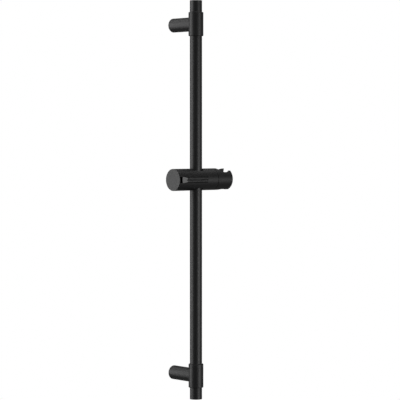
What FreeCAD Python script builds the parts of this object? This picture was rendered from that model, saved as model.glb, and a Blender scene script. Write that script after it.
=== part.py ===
import FreeCAD, Part
import math
import os

os.makedirs("parts", exist_ok=True)

V = FreeCAD.Vector

# All sizes are in millimetres and all angles in degrees.
# The wall is the plane Y = 0, the room lies towards -Y, Z is up and X runs to the right.
# The origin is the centre of the lower wall fixing.

# Rail
RAIL_DIAMETER = 22.0
RAIL_WALL = 1.2
RAIL_OVERHANG = 42.6
PLUG_HEAD = 1.6
PLUG_EDGE = 0.5
PLUG_SPIGOT = 12.0
PLUG_WALL = 1.6
PLUG_FIT = 0.05

# Brackets
FIXING_SPACING = 634.6
STAND_OFF = 63.0
SLEEVE_HEIGHT = 43.0
SLEEVE_WALL = 2.35
SLEEVE_FIT = 0.05
SLEEVE_EDGE = 1.2
SLEEVE_LEAD = 0.5
POST_DIAMETER = 25.3
POST_WALL = 3.6
POST_EDGE = 0.6
POST_CORE_DIAMETER = 11.0

# Wall bosses and their screws
BOSS_LENGTH = 14.0
BOSS_FIT = 0.05
BOSS_BORE_DIAMETER = 5.4
BOSS_HEAD_DIAMETER = 10.5
BOSS_HEAD_DEPTH = 4.0
BOSS_GROOVE_DEPTH = 0.8
BOSS_GROOVE_WIDTH = 5.6
BOSS_END_ROOM = 2.0
GRUB_DIAMETER = 5.0
GRUB_SINK = 0.6
GRUB_KEY = 2.5
GRUB_KEY_DEPTH = 2.0
THREAD_FIT = 0.03
SEAT_FIT = 0.03
CLAMP_DIAMETER = 6.0
CLAMP_LENGTH = 14.0
CLAMP_KEY = 3.0
CLAMP_KEY_DEPTH = 3.5
CLAMP_END_ROOM = 2.0
CLAMP_PAD = 2.4

# Slider body
SLIDER_HEIGHT = 355.1
BODY_DIAMETER = 39.4
BODY_LEFT = 53.2
BODY_RIGHT = 37.5
BODY_WALL = 3.2
BODY_EDGE = 0.4
BUSH_WALL = 1.8
BUSH_RUN = 0.1
BUSH_SINK = 0.8
SWIVEL_RUN = 0.1
SWIVEL_END_RUN = 0.1
WEB_ROOM = 1.0
WEB_WALL = 1.4
WEB_EDGE = 0.5
CHAMBER_WALL = 3.5

# End cap
CAP_PLATE = 1.0
CAP_EDGE = 0.4
CAP_RING = 6.0
CAP_RING_WALL = 2.0
CAP_FIT = 0.05
CAP_WINDOW_ROOM = 0.8

# Release lever
SLOT_HEIGHT = 11.0
LEVER_LEFT = 45.9
LEVER_RIGHT = 12.0
LEVER_GAP = 0.3
LEVER_FLOOR_GAP = 0.4
LEVER_DEPTH = 13.7
LEVER_ARM_GAP = 2.5
ARM_LEFT = 36.5
RAMP_LENGTH = 10.6
RAMP_DROP = 2.3
RIB_COUNT = 2
RIB_DEPTH = 0.5
RIB_PROUD = 0.2
PIVOT_INSET = 3.0
KNUCKLE_WALL = 1.6
PIN_DIAMETER = 3.0
PIN_FIT = 0.02
PIN_RUN = 0.05
PIN_REACH = 3.5
PIN_SINK = 1.0
PAD_DIAMETER = 7.0
PAD_SEAT = 1.5
PAD_GAP = 0.25
PAD_HOLE_ROOM = 0.9

# Lever spring
SPRING_OFFSET = 28.0
SPRING_DIAMETER = 7.0
SPRING_WIRE = 0.9
SPRING_TURNS = 5.0
SPRING_SEAT_DEPTH = 4.0
SPRING_SEAT_ROOM = 0.4
SPRING_END_GAP = 0.1
SPRING_LENGTH = 14.0
SPRING_POST_WALL = 1.0
SPRING_NUB = 3.0
SPRING_NUB_ROOM = 0.4

# Handset holder
HOLDER_GAP = 0.5
HOLDER_LENGTH = 34.0
HOLDER_EDGE = 0.7
HOLDER_TILT = 11.0
SOCKET_OFFSET = 19.8
SOCKET_TOP_DIAMETER = 25.0
SOCKET_BOTTOM_DIAMETER = 20.7
SOCKET_EDGE = 0.6
HOSE_SLOT = 18.0

# Holder pivot
RECESS_DIAMETER = 26.0
RECESS_DEPTH = 5.3
SPIGOT_RUN = 0.1
SPIGOT_END_RUN = 0.1
RING_CORD = 2.0
RING_GAP = 0.05
RING_GROOVE_WIDTH = 2.4
STOP_INNER_DIAMETER = 13.0
STOP_OUTER_DIAMETER = 19.0
STOP_LENGTH = 2.6
STOP_WIDTH = 16.0
STOP_TRAVEL = 76.0
STOP_RUN = 0.3
SCREW_DIAMETER = 6.0
SCREW_RUN = 0.08
SCREW_HEAD_DIAMETER = 10.0
SCREW_HEAD = 3.4
SCREW_HEAD_ROOM = 0.6
SCREW_HEAD_SINK = 0.5
SCREW_KEY = 4.0
SCREW_KEY_DEPTH = 2.2
SCREW_END_ROOM = 1.0
THREAD_WALL = 5.0
WASHER_THICKNESS = 0.8
WASHER_RUN = 0.05

# Worked-out sizes
rail_r = RAIL_DIAMETER / 2
rail_bottom = -RAIL_OVERHANG
rail_top = FIXING_SPACING + RAIL_OVERHANG
sleeve_bore_r = rail_r + SLEEVE_FIT
sleeve_r = sleeve_bore_r + SLEEVE_WALL
post_r = POST_DIAMETER / 2
boss_socket_r = post_r - POST_WALL
boss_r = boss_socket_r - BOSS_FIT
boss_socket_end = -(BOSS_LENGTH + BOSS_END_ROOM)
clamp_front = -STAND_OFF + rail_r + CLAMP_PAD
clamp_back = clamp_front + CLAMP_LENGTH

body_r = BODY_DIAMETER / 2
bush_bore_r = rail_r + BUSH_RUN
bush_r = bush_bore_r + BUSH_WALL
bore_r = bush_r + SWIVEL_RUN
bush_top = math.sqrt(body_r ** 2 - bore_r ** 2) - BUSH_SINK
web_bore_r = rail_r + WEB_ROOM
web_half = SLOT_HEIGHT / 2 + WEB_EDGE
slot_floor = -(web_bore_r + WEB_WALL)
chamber_r = body_r - BODY_WALL
chamber_end = -(bore_r + CHAMBER_WALL)

lever_half = SLOT_HEIGHT / 2 - LEVER_GAP
lever_back = slot_floor - LEVER_FLOOR_GAP
lever_inner = -body_r + LEVER_DEPTH
lever_arm_end = chamber_end - LEVER_ARM_GAP
pivot_x = chamber_end + PIVOT_INSET
pivot_y = lever_back
knuckle_r = PIN_DIAMETER / 2 + PIN_RUN + KNUCKLE_WALL
pin_top = SLOT_HEIGHT / 2 + PIN_REACH
pin_bottom = -math.sqrt(body_r ** 2 - pivot_y ** 2) + PIN_SINK
pin_hole_r = PIN_DIAMETER / 2 + PIN_FIT
spring_r = SPRING_DIAMETER / 2
spring_front = lever_inner - SPRING_SEAT_DEPTH
spring_back = spring_front + SPRING_LENGTH + 2 * SPRING_END_GAP

holder_left = BODY_RIGHT + HOLDER_GAP
holder_right = holder_left + HOLDER_LENGTH
socket_x = holder_left + SOCKET_OFFSET
socket_mid_r = (SOCKET_TOP_DIAMETER + SOCKET_BOTTOM_DIAMETER) / 4
recess_r = RECESS_DIAMETER / 2
recess_floor = BODY_RIGHT - RECESS_DEPTH
spigot_r = recess_r - SPIGOT_RUN
spigot_end = recess_floor + SPIGOT_END_RUN
ring_x = (spigot_end + BODY_RIGHT) / 2
ring_r = recess_r - RING_GAP - RING_CORD / 2
screw_r = SCREW_DIAMETER / 2
screw_head_top = socket_x - socket_mid_r - SCREW_HEAD_SINK
screw_head_base = screw_head_top - SCREW_HEAD
washer_base = screw_head_base - WASHER_THICKNESS
counterbore_floor = washer_base - WASHER_RUN
counterbore_r = SCREW_HEAD_DIAMETER / 2 + SCREW_HEAD_ROOM
screw_hole_end = bore_r + THREAD_WALL
screw_tip = screw_hole_end + SCREW_END_ROOM

rail_axis = V(0, -STAND_OFF, 0)
slider_place = V(0, -STAND_OFF, SLIDER_HEIGHT)


def rod(radius, start, end):
    """A cylinder between two points."""
    return Part.makeCylinder(radius, (end - start).Length, start, end - start)


def rod_x(radius, x0, x1):
    """A cylinder on the slider axis."""
    return rod(radius, V(x0, 0, 0), V(x1, 0, 0))


def rod_z(radius, z0, z1):
    """A cylinder on the rail axis, in the slider's own place."""
    return rod(radius, V(0, 0, z0), V(0, 0, z1))


def block(x0, x1, y0, y1, z0, z1):
    """A box between two corners."""
    return Part.makeBox(x1 - x0, y1 - y0, z1 - z0, V(x0, y0, z0))


def hexagon(across, start, end):
    """A hexagonal prism between two points, for a key socket."""
    axis = (end - start).normalize()
    side = axis.cross(V(1, 0, 0) if abs(axis.x) < 0.5 else V(0, 1, 0)).normalize()
    up = axis.cross(side)
    radius = across / math.sqrt(3)
    corners = []
    for step in range(7):
        turn = math.radians(60 * step)
        corners.append(start + side * (radius * math.cos(turn)) + up * (radius * math.sin(turn)))
    return Part.Face(Part.makePolygon(corners)).extrude(end - start)


def circles(shape, radius, centre):
    """The circular edges of one radius about one centre."""
    found = []
    for edge in shape.Edges:
        curve = edge.Curve
        if isinstance(curve, Part.Circle) and abs(curve.Radius - radius) < 1e-4:
            if (curve.Center - centre).Length < 1e-4:
                found.append(edge)
    return found


def sector(inner_r, outer_r, half_angle, x0, x1):
    """A ring segment about the slider axis, centred on +Z."""
    turn = math.radians(half_angle)
    ring = rod_x(outer_r, x0, x1).cut(rod_x(inner_r, x0, x1))
    reach = 2 * outer_r
    corners = [V(x0, 0, 0)]
    for angle in (-turn, 0, turn):
        corners.append(V(x0, reach * math.sin(angle), reach * math.cos(angle)))
    corners.append(V(x0, 0, 0))
    wedge = Part.Face(Part.makePolygon(corners)).extrude(V(x1 - x0, 0, 0))
    return ring.common(wedge)


# Rail and its end plugs
def make_rail_tube():
    bottom = rail_axis + V(0, 0, rail_bottom + PLUG_HEAD)
    top = rail_axis + V(0, 0, rail_top - PLUG_HEAD)
    return rod(rail_r, bottom, top).cut(rod(rail_r - RAIL_WALL, bottom, top))


def make_plug(end_z, inward):
    """A tube plug: a flat head with a broken edge on a hollow spigot."""
    spigot_r_out = rail_r - RAIL_WALL - PLUG_FIT
    head = rod_z(rail_r, 0, PLUG_HEAD)
    head = head.makeChamfer(PLUG_EDGE, circles(head, rail_r, V(0, 0, 0)))
    spigot = rod_z(spigot_r_out, PLUG_HEAD, PLUG_HEAD + PLUG_SPIGOT)
    hollow = rod_z(spigot_r_out - PLUG_WALL, PLUG_HEAD, PLUG_HEAD + PLUG_SPIGOT)
    plug = head.fuse(spigot.cut(hollow))
    if inward < 0:
        plug.rotate(V(0, 0, 0), V(1, 0, 0), 180)
    plug.translate(rail_axis + V(0, 0, end_z))
    return plug


# Brackets and wall fixings
def make_bracket():
    """A T casting: a sleeve for the rail and a post with a socket for the wall boss."""
    low = rail_axis - V(0, 0, SLEEVE_HEIGHT / 2)
    high = rail_axis + V(0, 0, SLEEVE_HEIGHT / 2)
    sleeve = rod(sleeve_r, low, high)
    ends = circles(sleeve, sleeve_r, low) + circles(sleeve, sleeve_r, high)
    sleeve = sleeve.makeChamfer(SLEEVE_EDGE, ends)
    post = rod(post_r, V(0, 0, 0), rail_axis)
    post = post.makeChamfer(POST_EDGE, circles(post, post_r, V(0, 0, 0)))
    casting = sleeve.fuse(post)
    casting = casting.cut(rod(sleeve_bore_r, low, high))
    lead = [
        Part.makeCone(sleeve_bore_r + SLEEVE_LEAD, sleeve_bore_r, SLEEVE_LEAD, low, V(0, 0, 1)),
        Part.makeCone(sleeve_bore_r + SLEEVE_LEAD, sleeve_bore_r, SLEEVE_LEAD, high, V(0, 0, -1)),
    ]
    socket = rod(boss_socket_r, V(0, 0, 0), V(0, boss_socket_end, 0))
    core_end = clamp_back + CLAMP_END_ROOM
    core = rod(POST_CORE_DIAMETER / 2, V(0, 0, 0), V(0, core_end, 0))
    thread = rod(CLAMP_DIAMETER / 2 + THREAD_FIT, V(0, 0, 0), rail_axis)
    grub = rod(GRUB_DIAMETER / 2 + THREAD_FIT, V(0, -BOSS_LENGTH / 2, 0), V(0, -BOSS_LENGTH / 2, -post_r))
    return casting.cut(lead + [socket, core, thread, grub])


def make_wall_boss():
    """A turned boss with a counterbored screw hole and a groove for the grub screw."""
    boss = rod(boss_r, V(0, 0, 0), V(0, -BOSS_LENGTH, 0))
    bore = rod(BOSS_BORE_DIAMETER / 2, V(0, 0, 0), V(0, -BOSS_LENGTH, 0))
    head = rod(BOSS_HEAD_DIAMETER / 2, V(0, BOSS_HEAD_DEPTH - BOSS_LENGTH, 0), V(0, -BOSS_LENGTH, 0))
    groove_front = V(0, -(BOSS_LENGTH + BOSS_GROOVE_WIDTH) / 2, 0)
    groove_back = V(0, -(BOSS_LENGTH - BOSS_GROOVE_WIDTH) / 2, 0)
    groove = rod(boss_r, groove_front, groove_back)
    groove = groove.cut(rod(boss_r - BOSS_GROOVE_DEPTH, groove_front, groove_back))
    return boss.cut([bore, head, groove])


def make_boss_grub_screw():
    tip = V(0, -BOSS_LENGTH / 2, -(boss_r - BOSS_GROOVE_DEPTH + SEAT_FIT))
    tail = V(0, -BOSS_LENGTH / 2, -(post_r - GRUB_SINK))
    key = hexagon(GRUB_KEY, tail + V(0, 0, GRUB_KEY_DEPTH), tail)
    return rod(GRUB_DIAMETER / 2, tip, tail).cut(key)


def make_clamp_screw():
    front = V(0, clamp_front + SEAT_FIT, 0)
    back = V(0, clamp_back, 0)
    key = hexagon(CLAMP_KEY, back - V(0, CLAMP_KEY_DEPTH, 0), back)
    return rod(CLAMP_DIAMETER / 2, front, back).cut(key)


def make_clamp_pad():
    """A pad with a hollow face that lies on the rail."""
    pad = rod(CLAMP_DIAMETER / 2, rail_axis, V(0, clamp_front, 0))
    return pad.cut(rod(rail_r + SEAT_FIT, rail_axis - V(0, 0, rail_r), rail_axis + V(0, 0, rail_r)))


# Slider
def make_bush():
    """The upper bush. The lower one is its mirror image."""
    low = web_half + SWIVEL_END_RUN
    return rod_z(bush_r, low, bush_top).cut(rod_z(bush_bore_r, low, bush_top))


def make_slider_body():
    """A hollow cylinder across the rail, with a front slot, a chamber and a recess for the holder."""
    body = rod_x(body_r, -BODY_LEFT, BODY_RIGHT)
    body = body.makeChamfer(BODY_EDGE, circles(body, body_r, V(BODY_RIGHT, 0, 0)))
    body = body.cut(rod_x(chamber_r, -BODY_LEFT, chamber_end))
    body = body.fuse(make_spring_post())
    slot = block(-BODY_LEFT, LEVER_RIGHT + LEVER_GAP, -body_r, slot_floor, -SLOT_HEIGHT / 2, SLOT_HEIGHT / 2)
    rail_bore = rod_z(web_bore_r, -body_r, body_r)
    upper_bore = rod_z(bore_r, web_half, body_r)
    lower_bore = rod_z(bore_r, -body_r, -web_half)
    pad_hole_r = PAD_DIAMETER / 2 + PAD_HOLE_ROOM
    pad_hole = rod(pad_hole_r, V(0, -body_r, 0), V(0, 0, 0))
    pin_hole = rod(pin_hole_r, V(pivot_x, pivot_y, -body_r), V(pivot_x, pivot_y, pin_top))
    slot_low = V(pivot_x, pivot_y, -SLOT_HEIGHT / 2)
    slot_high = V(pivot_x, pivot_y, SLOT_HEIGHT / 2)
    knuckle_room = rod(knuckle_r + LEVER_FLOOR_GAP, slot_low, slot_high)
    recess = rod_x(recess_r, recess_floor, BODY_RIGHT)
    thread = rod_x(screw_r + THREAD_FIT, screw_hole_end, BODY_RIGHT)
    stop_groove = sector(
        STOP_INNER_DIAMETER / 2 - STOP_RUN,
        STOP_OUTER_DIAMETER / 2 + STOP_RUN,
        STOP_TRAVEL + STOP_WIDTH / 2,
        recess_floor - STOP_LENGTH - STOP_RUN,
        BODY_RIGHT,
    )
    cuts = [slot, rail_bore, upper_bore, lower_bore, pad_hole, pin_hole, knuckle_room]
    return body.cut(cuts + [recess, thread, stop_groove])


def make_spring_post():
    """The post on the chamber's rear wall that carries the lever spring."""
    post = rod(spring_r + SPRING_POST_WALL, V(-SPRING_OFFSET, spring_back, 0), V(-SPRING_OFFSET, body_r, 0))
    nub_r = spring_r - SPRING_WIRE - SPRING_NUB_ROOM
    nub = rod(nub_r, V(-SPRING_OFFSET, spring_back - SPRING_NUB, 0), V(-SPRING_OFFSET, body_r, 0))
    return post.fuse(nub).common(rod_x(body_r - BODY_WALL / 2, -BODY_LEFT, 0))


def make_end_cap():
    """A flat disc with a ring that fits in the chamber, open where the slot is."""
    left = -BODY_LEFT - CAP_PLATE
    plate = rod_x(body_r, left, -BODY_LEFT)
    plate = plate.makeChamfer(CAP_EDGE, circles(plate, body_r, V(left, 0, 0)))
    ring_out = rod_x(chamber_r - CAP_FIT, -BODY_LEFT, -BODY_LEFT + CAP_RING)
    ring_in = rod_x(chamber_r - CAP_FIT - CAP_RING_WALL, -BODY_LEFT, -BODY_LEFT + CAP_RING)
    half = SLOT_HEIGHT / 2 + CAP_WINDOW_ROOM
    window = block(-BODY_LEFT, -BODY_LEFT + CAP_RING, -body_r, 0, -half, half)
    return plate.fuse(ring_out.cut(ring_in).cut(window))


def front_at(z):
    """The front of the slider's round outline at one height."""
    return -math.sqrt(body_r ** 2 - z ** 2)


def lever_ramp():
    """The wedge above the thumb ramp, which falls away towards the lever's left end."""
    proud = -body_r - RIB_PROUD
    ramp_foot = V(-LEVER_LEFT + RAMP_LENGTH, proud, -lever_half)
    ramp_end = V(-LEVER_LEFT, -body_r + RAMP_DROP, -lever_half)
    corner = V(-LEVER_LEFT, proud, -lever_half)
    wedge = Part.Face(Part.makePolygon([ramp_foot, ramp_end, corner, ramp_foot]))
    return wedge.extrude(V(0, 0, 2 * lever_half))


def make_release_lever():
    """A rocker with a ribbed face that lies in the slider's round outline."""
    edges = []
    pitch = 2 * lever_half / RIB_COUNT
    for rib in range(RIB_COUNT):
        low = -lever_half + rib * pitch
        mid = low + pitch / 2
        high = low + pitch
        start = V(-LEVER_LEFT, front_at(low) + RIB_DEPTH, low)
        crest = V(-LEVER_LEFT, front_at(mid) - RIB_PROUD, mid)
        end = V(-LEVER_LEFT, front_at(high) + RIB_DEPTH, high)
        edges.append(Part.Arc(start, crest, end).toShape())
    first = edges[0].valueAt(edges[0].FirstParameter)
    last = edges[-1].valueAt(edges[-1].LastParameter)
    back_high = V(-LEVER_LEFT, lever_back, lever_half)
    back_low = V(-LEVER_LEFT, lever_back, -lever_half)
    edges.append(Part.makeLine(last, back_high))
    edges.append(Part.makeLine(back_high, back_low))
    edges.append(Part.makeLine(back_low, first))
    face = Part.Face(Part.Wire(Part.__sortEdges__(edges)))
    bar = face.extrude(V(LEVER_LEFT + LEVER_RIGHT, 0, 0))
    arm = block(-ARM_LEFT, lever_arm_end, lever_back, lever_inner, -lever_half, lever_half)
    low_end = V(pivot_x, pivot_y, -lever_half)
    high_end = V(pivot_x, pivot_y, lever_half)
    behind = block(pivot_x - knuckle_r, pivot_x + knuckle_r, lever_back, 0, -lever_half, lever_half)
    knuckle = rod(knuckle_r, low_end, high_end).common(behind)
    lever = bar.fuse([arm, knuckle]).removeSplitter()
    pin = rod(PIN_DIAMETER / 2 + PIN_RUN, low_end, high_end)
    pad = rod(PAD_DIAMETER / 2, V(0, lever_back - PAD_SEAT, 0), V(0, lever_back, 0))
    seat_r = spring_r + SPRING_SEAT_ROOM
    seat = rod(seat_r, V(-SPRING_OFFSET, spring_front, 0), V(-SPRING_OFFSET, lever_inner, 0))
    return lever.cut([pin, pad, seat, lever_ramp()])


def make_lever_pin():
    return rod(PIN_DIAMETER / 2, V(pivot_x, pivot_y, pin_bottom), V(pivot_x, pivot_y, pin_top))


def make_lever_spring():
    """A coil spring between the lever's left arm and the post in the chamber."""
    coil_r = spring_r - SPRING_WIRE / 2
    rise = SPRING_LENGTH - SPRING_WIRE
    helix = Part.makeHelix(rise / SPRING_TURNS, rise, coil_r)
    half = SPRING_WIRE / 2
    section = [V(coil_r + x * half, 0, z * half) for x, z in ((-1, -1), (1, -1), (1, 1), (-1, 1), (-1, -1))]
    wire = Part.makePolygon(section)
    spring = Part.Wire(helix).makePipeShell([wire], True, True)
    spring.rotate(V(0, 0, 0), V(1, 0, 0), -90)
    spring.translate(V(-SPRING_OFFSET, spring_front + SPRING_END_GAP + SPRING_WIRE / 2, 0))
    return spring


def make_brake_pad():
    """A pad seated in the lever, hollowed to follow the rail."""
    pad = rod(PAD_DIAMETER / 2, V(0, lever_back - PAD_SEAT, 0), V(0, 0, 0))
    return pad.cut(rod_z(rail_r + PAD_GAP, -PAD_DIAMETER, PAD_DIAMETER))


def make_handset_holder():
    """The swivelling end, with a conical socket and a slot for the hose."""
    body = rod_x(body_r, holder_left, holder_right)
    body = body.makeChamfer(BODY_EDGE, circles(body, body_r, V(holder_left, 0, 0)))
    body = body.makeChamfer(HOLDER_EDGE, circles(body, body_r, V(holder_right, 0, 0)))
    spigot = rod_x(spigot_r, spigot_end, holder_left)
    groove = rod_x(spigot_r, ring_x - RING_GROOVE_WIDTH / 2, ring_x + RING_GROOVE_WIDTH / 2)
    groove_floor_r = ring_r - RING_CORD / 2 - RING_GAP
    groove = groove.cut(rod_x(groove_floor_r, ring_x - RING_GROOVE_WIDTH / 2, ring_x + RING_GROOVE_WIDTH / 2))
    lug = sector(
        STOP_INNER_DIAMETER / 2,
        STOP_OUTER_DIAMETER / 2,
        STOP_WIDTH / 2,
        spigot_end - STOP_LENGTH,
        spigot_end,
    )
    taper = (SOCKET_TOP_DIAMETER - SOCKET_BOTTOM_DIAMETER) / BODY_DIAMETER
    reach = 2 * body_r
    socket = Part.makeCone(
        socket_mid_r - taper * reach / 2,
        socket_mid_r + taper * reach / 2,
        2 * reach,
        V(socket_x, 0, -reach),
        V(0, 0, 1),
    )
    slot = block(socket_x, holder_right, -HOSE_SLOT / 2, HOSE_SLOT / 2, -reach, reach)
    opening = socket.fuse(slot)
    opening.rotate(V(0, 0, 0), V(1, 0, 0), HOLDER_TILT)
    counterbore = rod_x(counterbore_r, counterbore_floor, socket_x)
    pivot = rod_x(screw_r + SCREW_RUN, spigot_end, socket_x)
    body = body.fuse(spigot).cut(opening)
    body = body.makeChamfer(SOCKET_EDGE, mouth_edges(body))
    return body.cut([counterbore, pivot, groove]).fuse(lug)


def mouth_edges(holder):
    """The edges where the socket and the hose slot leave the holder's round side and end."""
    found = []
    for edge in holder.Edges:
        middle = edge.valueAt((edge.FirstParameter + edge.LastParameter) / 2)
        out = math.hypot(middle.y, middle.z)
        on_side = abs(out - body_r) < 1e-3 and holder_left + BODY_EDGE < middle.x - 1e-3
        if on_side and not isinstance(edge.Curve, Part.Circle) and not isinstance(edge.Curve, Part.Line):
            found.append(edge)
    return found


def make_pivot_screw():
    shank = rod_x(screw_r, screw_tip, screw_head_base)
    head = rod_x(SCREW_HEAD_DIAMETER / 2, screw_head_base, screw_head_top)
    key = hexagon(SCREW_KEY, V(screw_head_top - SCREW_KEY_DEPTH, 0, 0), V(screw_head_top, 0, 0))
    return shank.fuse(head).cut(key)


def make_pivot_washer():
    washer = rod_x(SCREW_HEAD_DIAMETER / 2, washer_base, screw_head_base)
    return washer.cut(rod_x(screw_r + SEAT_FIT, washer_base, screw_head_base))


def make_swivel_ring():
    left = ring_x - RING_CORD / 2
    right = ring_x + RING_CORD / 2
    return rod_x(ring_r + RING_CORD / 2, left, right).cut(rod_x(ring_r - RING_CORD / 2, left, right))


def moved(shape, step):
    copy = shape.copy()
    copy.translate(step)
    return copy


def export(name, shape):
    if not shape.isValid():
        raise ValueError(name + " is not a valid shape")
    shape.exportStep("parts/" + name + ".step")


upper = V(0, 0, FIXING_SPACING)
bracket = make_bracket()
wall_boss = make_wall_boss()
grub_screw = make_boss_grub_screw()
clamp_screw = make_clamp_screw()
clamp_pad = make_clamp_pad()
bush = make_bush()

export("rail_tube", make_rail_tube())
export("bottom_plug", make_plug(rail_bottom, 1))
export("top_plug", make_plug(rail_top, -1))
export("lower_bracket", bracket)
export("upper_bracket", moved(bracket, upper))
export("lower_wall_boss", wall_boss)
export("upper_wall_boss", moved(wall_boss, upper))
export("boss_grub_screws", Part.makeCompound([grub_screw, moved(grub_screw, upper)]))
export("clamp_screws", Part.makeCompound([clamp_screw, moved(clamp_screw, upper)]))
export("lower_clamp_pad", clamp_pad)
export("upper_clamp_pad", moved(clamp_pad, upper))

export("upper_bush", moved(bush, slider_place))
export("lower_bush", moved(bush.mirror(V(0, 0, 0), V(0, 0, 1)), slider_place))
export("slider_body", moved(make_slider_body(), slider_place))
export("end_cap", moved(make_end_cap(), slider_place))
export("release_lever", moved(make_release_lever(), slider_place))
export("lever_pin", moved(make_lever_pin(), slider_place))
export("lever_spring", moved(make_lever_spring(), slider_place))
export("brake_pad", moved(make_brake_pad(), slider_place))
export("handset_holder", moved(make_handset_holder(), slider_place))
export("pivot_screw", moved(make_pivot_screw(), slider_place))
export("pivot_washer", moved(make_pivot_washer(), slider_place))
export("swivel_ring", moved(make_swivel_ring(), slider_place))
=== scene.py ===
import math

import bmesh
import bpy
from bpy.props import FloatProperty, FloatVectorProperty, IntProperty, PointerProperty
from mathutils import Matrix, Vector


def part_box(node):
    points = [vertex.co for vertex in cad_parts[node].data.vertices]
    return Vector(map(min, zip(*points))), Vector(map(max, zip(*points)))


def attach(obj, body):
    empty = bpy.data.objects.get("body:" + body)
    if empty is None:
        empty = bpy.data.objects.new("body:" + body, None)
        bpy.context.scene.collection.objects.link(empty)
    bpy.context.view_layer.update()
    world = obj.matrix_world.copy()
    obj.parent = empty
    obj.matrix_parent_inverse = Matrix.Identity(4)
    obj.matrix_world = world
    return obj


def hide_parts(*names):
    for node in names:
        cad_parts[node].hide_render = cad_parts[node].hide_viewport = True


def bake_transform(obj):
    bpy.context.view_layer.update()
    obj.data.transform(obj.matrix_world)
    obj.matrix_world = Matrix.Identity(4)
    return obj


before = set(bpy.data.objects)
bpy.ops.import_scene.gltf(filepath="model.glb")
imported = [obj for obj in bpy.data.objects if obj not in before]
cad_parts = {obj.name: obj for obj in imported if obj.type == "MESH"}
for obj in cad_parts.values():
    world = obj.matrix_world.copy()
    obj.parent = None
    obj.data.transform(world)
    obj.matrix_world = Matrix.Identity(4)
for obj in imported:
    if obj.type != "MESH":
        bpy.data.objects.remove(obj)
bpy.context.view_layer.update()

bl_info = {
    "name": "Shower Slide Rail",
    "version": (1, 0, 0),
    "blender": (4, 5, 0),
    "location": "View3D > Sidebar > Slide Rail",
    "description": "Gives a wall-mounted shower slide rail its rounded pieces and its matt black finishes",
    "category": "Object",
}

MM = 0.001
# How far a cut or a join reaches past the face that it opens or meets
PAST = 1 * MM
# Points that are closer than this are one point
MERGE = 0.001 * MM
# Steps round turned shapes, bores, pin holes, grooves, lugs and wires
STEPS = 128
SMALL_STEPS = 64
PIN_STEPS = 32
SWEEP_STEPS = 24
LUG_STEPS = 6
KEY_SIDES = 6
RING_STEPS = 96
CORD_STEPS = 20
COIL_STEPS = 32
WIRE_STEPS = 12
FLOOR_STEPS = 96
# Steps along rounded corners, the ribs' arcs and the mouth's rounding
CORNER_STEPS = 4
ARC_STEPS = 12
MOUTH_STEPS = 3
# Cuts that divide the tube along its length
TUBE_CUTS = 23
# Edges that turn by more than this many degrees stay sharp
SHARP_ANGLE = 35.0
RIB_SHARP_ANGLE = 10.0
RING_SHARP_ANGLE = 60.0
# How much of the way to its corner a rib's arc takes
RIB_ARC = 0.9
# Width of the camera's sensor in millimetres
SENSOR_WIDTH = 36.0
# Each axis with a direction across it
AXES = {
    "X": (Vector((1, 0, 0)), Vector((0, 0, 1))),
    "Y": (Vector((0, 1, 0)), Vector((0, 0, 1))),
    "Z": (Vector((0, 0, 1)), Vector((1, 0, 0))),
}
# The parts of a vector that lie across an axis
ACROSS = {"X": (0, 1, 1), "Y": (1, 0, 1), "Z": (1, 1, 0)}


def length(name, description, default):
    """A length property. The default is in millimetres."""
    return FloatProperty(
        name=name, description=description, default=default * MM, min=0.0,
        subtype="DISTANCE", unit="LENGTH")


def angle(name, description, default):
    """An angle property. The default is in degrees."""
    return FloatProperty(
        name=name, description=description, default=math.radians(default),
        subtype="ANGLE", unit="ROTATION")


def share(name, description, default):
    """A share property, from 0 to 1."""
    return FloatProperty(
        name=name, description=description, default=default, min=0.0, max=1.0, subtype="FACTOR")


def count(name, description, default):
    """A whole number property."""
    return IntProperty(name=name, description=description, default=default, min=1)


def colour(name, description, default):
    """A colour property, as linear red, green and blue."""
    return FloatVectorProperty(
        name=name, description=description, default=default, size=3, min=0.0, max=1.0, subtype="COLOR")


def brightness(name, description, default):
    """A property for the radiance of a light's panel."""
    return FloatProperty(name=name, description=description, default=default, min=0.0)


def half_width(node):
    """Half of a CAD node's width, in millimetres."""
    low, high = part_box(node)
    return (high.x - low.x) / 2 / MM


# Sizes and colours
class SLIDERAIL_PG_rail(bpy.types.PropertyGroup):
    tube_radius: length("Tube Radius", "Outer radius of the rail", half_width("rail_tube"))
    tube_wall: length("Tube Wall", "Wall of the rail", 1.2)
    seam_round: length("Seam Round", "Rounding of the tube's ends where the plugs meet them", 0.15)
    plug_round: length("Plug Round", "Rounding of the plugs' outer edges", 0.5)
    plug_wall: length("Plug Wall", "Wall of the plugs' spigots", 1.6)
    plug_head: length("Plug Head", "Height of the plugs' heads", 1.6)
    plug_fit: length("Plug Fit", "Room between spigot and tube", 0.05)


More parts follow.
